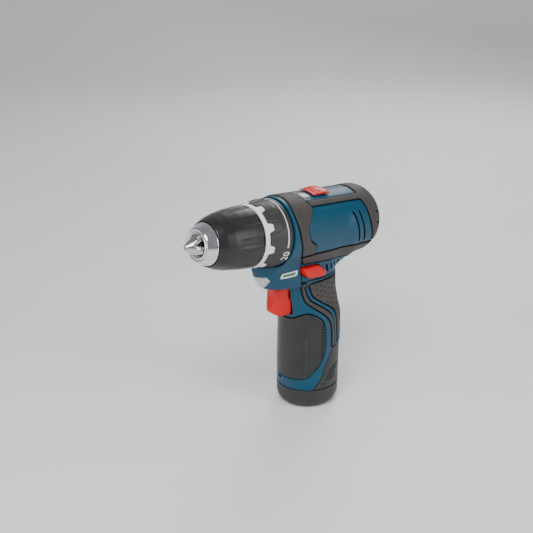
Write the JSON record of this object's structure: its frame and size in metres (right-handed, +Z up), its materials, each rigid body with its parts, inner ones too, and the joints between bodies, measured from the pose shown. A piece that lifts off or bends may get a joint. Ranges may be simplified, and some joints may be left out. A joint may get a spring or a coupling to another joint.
{
  "type": "cordless drill",
  "caption": "Compact pistol-grip cordless drill/driver with keyless chuck, torque collar, speed selector, trigger, direction lever and slide-out stick battery.",
  "frame": {"origin": "centre of the battery's flat bottom face", "axes": "+Z up from the battery's base, +X towards the chuck (the barrel points 6 degrees above +X), +Y to the holder's left"},
  "size_m": [0.179, 0.054, 0.1804],
  "materials": {
    "teal_plastic": "satin moulded, fine grain",
    "soft_grip": "soft matt overmould",
    "panel_plastic": "smooth satin",
    "red_plastic": "satin",
    "sleeve_plastic": "satin",
    "collar_plastic": "matt",
    "white_plastic": "matt",
    "battery_plastic": "fine grain",
    "bright_metal": "polished",
    "jaw_steel": "ground",
    "gear_steel": "machined",
    "can_steel": "plated",
    "lamination": "varnished",
    "magnet": "sintered",
    "copper": "bare",
    "case_plastic": "glass filled",
    "board_green": "printed board",
    "screw_steel": "black oxide",
    "clear_lens": "clear",
    "green_lens": "translucent",
    "cell_wrap": "shrink sleeve"
  },
  "bodies": {
    "housing": {"housing_left": "teal_plastic", "housing_right": "teal_plastic", "housing_screws": "screw_steel", "light_lens": "clear_lens", "charge_lens": "green_lens", "rear_cap": "soft_grip", "saddle_overmould": "soft_grip", "barrel_strips": "soft_grip", "belly_overmould": "soft_grip", "grip_overmould": "soft_grip", "front_panel": "panel_plastic", "clutch_spring": "gear_steel", "gearbox_case": "case_plastic", "clutch_pins": "gear_steel", "shaft_bearings": "gear_steel", "clutch_ring_gear": "gear_steel", "motor_can": "can_steel", "motor_magnets": "magnet", "brush_plate": "case_plastic", "brushes": "copper", "switch_module": "case_plastic", "trigger_spring": "gear_steel", "control_board": "board_green", "work_light": "board_green", "terminal_block": "case_plastic"},
    "spindle": {"spindle": "gear_steel", "chuck_screw": "gear_steel", "chuck_body": "jaw_steel", "chuck_nose_ring": "bright_metal", "output_carrier": "gear_steel"},
    "sleeve": {"chuck_sleeve": "sleeve_plastic", "jaw_nut": "gear_steel"},
    "jaw_a": {"jaw_1": "jaw_steel"},
    "jaw_b": {"jaw_2": "jaw_steel"},
    "jaw_c": {"jaw_3": "jaw_steel"},
    "collar": {"torque_collar": "collar_plastic", "collar_ring": "white_plastic"},
    "clutch_nut": {"clutch_nut": "gear_steel"},
    "selector": {"speed_slider": "red_plastic", "shift_fork": "gear_steel", "speed_ring_gear": "gear_steel"},
    "rotor": {"armature_shaft": "gear_steel", "armature": "lamination", "commutator": "copper", "fan": "case_plastic"},
    "first_carrier": {"input_carrier": "gear_steel"},
    "trigger": {"trigger": "red_plastic"},
    "lever": {"direction_lever": "red_plastic"},
    "battery": {"battery_base": "battery_plastic", "battery_stem": "battery_plastic", "battery_cells": "cell_wrap", "battery_board": "board_green"},
    "latch_left": {"latch_left": "battery_plastic"},
    "latch_right": {"latch_right": "battery_plastic"},
    "first_planet_body_1": {"first_planet_1": "gear_steel"},
    "first_planet_body_2": {"first_planet_2": "gear_steel"},
    "first_planet_body_3": {"first_planet_3": "gear_steel"},
    "second_planet_body_1": {"second_planet_1": "gear_steel"},
    "second_planet_body_2": {"second_planet_2": "gear_steel"},
    "second_planet_body_3": {"second_planet_3": "gear_steel"}
  },
  "joints": [
    {"name": "spindle_spin", "type": "hinge", "parent": "housing", "child": "spindle", "pos_m": [0.05967, 0, 0.15597], "axis": [0.9945, 0, 0.1045], "continuous": true},
    {"name": "rotor_spin", "type": "hinge", "parent": "housing", "child": "rotor", "pos_m": [-0.01989, 0, 0.14761], "axis": [0.9945, 0, 0.1045], "continuous": true},
    {"name": "first_carrier_spin", "type": "hinge", "parent": "housing", "child": "first_carrier", "pos_m": [0.01293, 0, 0.15106], "axis": [0.9945, 0, 0.1045], "continuous": true},
    {"name": "first_planet_1_spin", "type": "hinge", "parent": "first_carrier", "child": "first_planet_body_1", "pos_m": [0.00628, 0, 0.16167], "axis": [0.9945, 0, 0.1045], "continuous": true},
    {"name": "first_planet_2_spin", "type": "hinge", "parent": "first_carrier", "child": "first_planet_body_2", "pos_m": [0.00805, -0.00974, 0.14489], "axis": [0.9945, 0, 0.1045], "continuous": true},
    {"name": "first_planet_3_spin", "type": "hinge", "parent": "first_carrier", "child": "first_planet_body_3", "pos_m": [0.00805, 0.00974, 0.14489], "axis": [0.9945, 0, 0.1045], "continuous": true},
    {"name": "second_planet_1_spin", "type": "hinge", "parent": "spindle", "child": "second_planet_body_1", "pos_m": [0.01673, 0, 0.16277], "axis": [0.9945, 0, 0.1045], "continuous": true},
    {"name": "second_planet_2_spin", "type": "hinge", "parent": "spindle", "child": "second_planet_body_2", "pos_m": [0.01849, -0.00974, 0.14599], "axis": [0.9945, 0, 0.1045], "continuous": true},
    {"name": "second_planet_3_spin", "type": "hinge", "parent": "spindle", "child": "second_planet_body_3", "pos_m": [0.01849, 0.00974, 0.14599], "axis": [0.9945, 0, 0.1045], "continuous": true},
    {"name": "sleeve_turn", "type": "hinge", "parent": "spindle", "child": "sleeve", "pos_m": [0.08453, 0, 0.15858], "axis": [0.9945, 0, 0.1045], "range_deg": [0, 2880]},
    {"name": "jaw_1_slide", "type": "slide", "parent": "spindle", "child": "jaw_a", "axis": [-0.9816, 0, 0.1908], "range_m": [0, 0.0157]},
    {"name": "jaw_2_slide", "type": "slide", "parent": "spindle", "child": "jaw_b", "axis": [-0.9358, -0.2532, -0.2453], "range_m": [0, 0.0157]},
    {"name": "jaw_3_slide", "type": "slide", "parent": "spindle", "child": "jaw_c", "axis": [-0.9358, 0.2532, -0.2453], "range_m": [0, 0.0157]},
    {"name": "collar_turn", "type": "hinge", "parent": "housing", "child": "collar", "pos_m": [0.04973, 0, 0.15493], "axis": [0.9945, 0, 0.1045], "range_deg": [0, 125]},
    {"name": "clutch_nut_slide", "type": "slide", "parent": "collar", "child": "clutch_nut", "axis": [-0.9945, 0, -0.1045], "range_m": [0, 0.005], "deforming": ["clutch_spring"]},
    {"name": "speed_slide", "type": "slide", "parent": "housing", "child": "selector", "axis": [-0.9945, 0, -0.1045], "range_m": [0, 0.006]},
    {"name": "trigger_pull", "type": "slide", "parent": "housing", "child": "trigger", "axis": [-1, 0, 0], "range_m": [0, 0.006], "stiffness_N_per_m": 900, "springref_m": -0.002, "deforming": ["trigger_spring"]},
    {"name": "direction_slide", "type": "slide", "parent": "housing", "child": "lever", "axis": [0, 1, 0], "range_m": [-0.003, 0.003]},
    {"name": "battery_slide", "type": "slide", "parent": "housing", "child": "battery", "axis": [0, 0, -1], "range_m": [0, 0.09]},
    {"name": "latch_left_press", "type": "slide", "parent": "battery", "child": "latch_left", "axis": [0, -1, 0], "range_m": [0, 0.0009], "stiffness_N_per_m": 1500, "springref_m": -0.001},
    {"name": "latch_right_press", "type": "slide", "parent": "battery", "child": "latch_right", "axis": [0, 1, 0], "range_m": [0, 0.0009], "stiffness_N_per_m": 1500, "springref_m": -0.001}
  ],
  "couplings": [
    {"joint": "rotor_spin", "follows": "spindle_spin", "ratio": 25},
    {"joint": "first_carrier_spin", "follows": "spindle_spin", "ratio": 5},
    {"joint": "first_planet_1_spin", "follows": "spindle_spin", "ratio": -13.333},
    {"joint": "first_planet_2_spin", "follows": "spindle_spin", "ratio": -13.333},
    {"joint": "first_planet_3_spin", "follows": "spindle_spin", "ratio": -13.333},
    {"joint": "second_planet_1_spin", "follows": "spindle_spin", "ratio": -2.6667},
    {"joint": "second_planet_2_spin", "follows": "spindle_spin", "ratio": -2.6667},
    {"joint": "second_planet_3_spin", "follows": "spindle_spin", "ratio": -2.6667},
    {"joint": "jaw_1_slide", "follows": "sleeve_turn", "m_per_rad": 0.00031234},
    {"joint": "jaw_2_slide", "follows": "sleeve_turn", "m_per_rad": 0.00031234},
    {"joint": "jaw_3_slide", "follows": "sleeve_turn", "m_per_rad": 0.00031234},
    {"joint": "clutch_nut_slide", "follows": "collar_turn", "m_per_rad": 0.0022872}
  ]
}
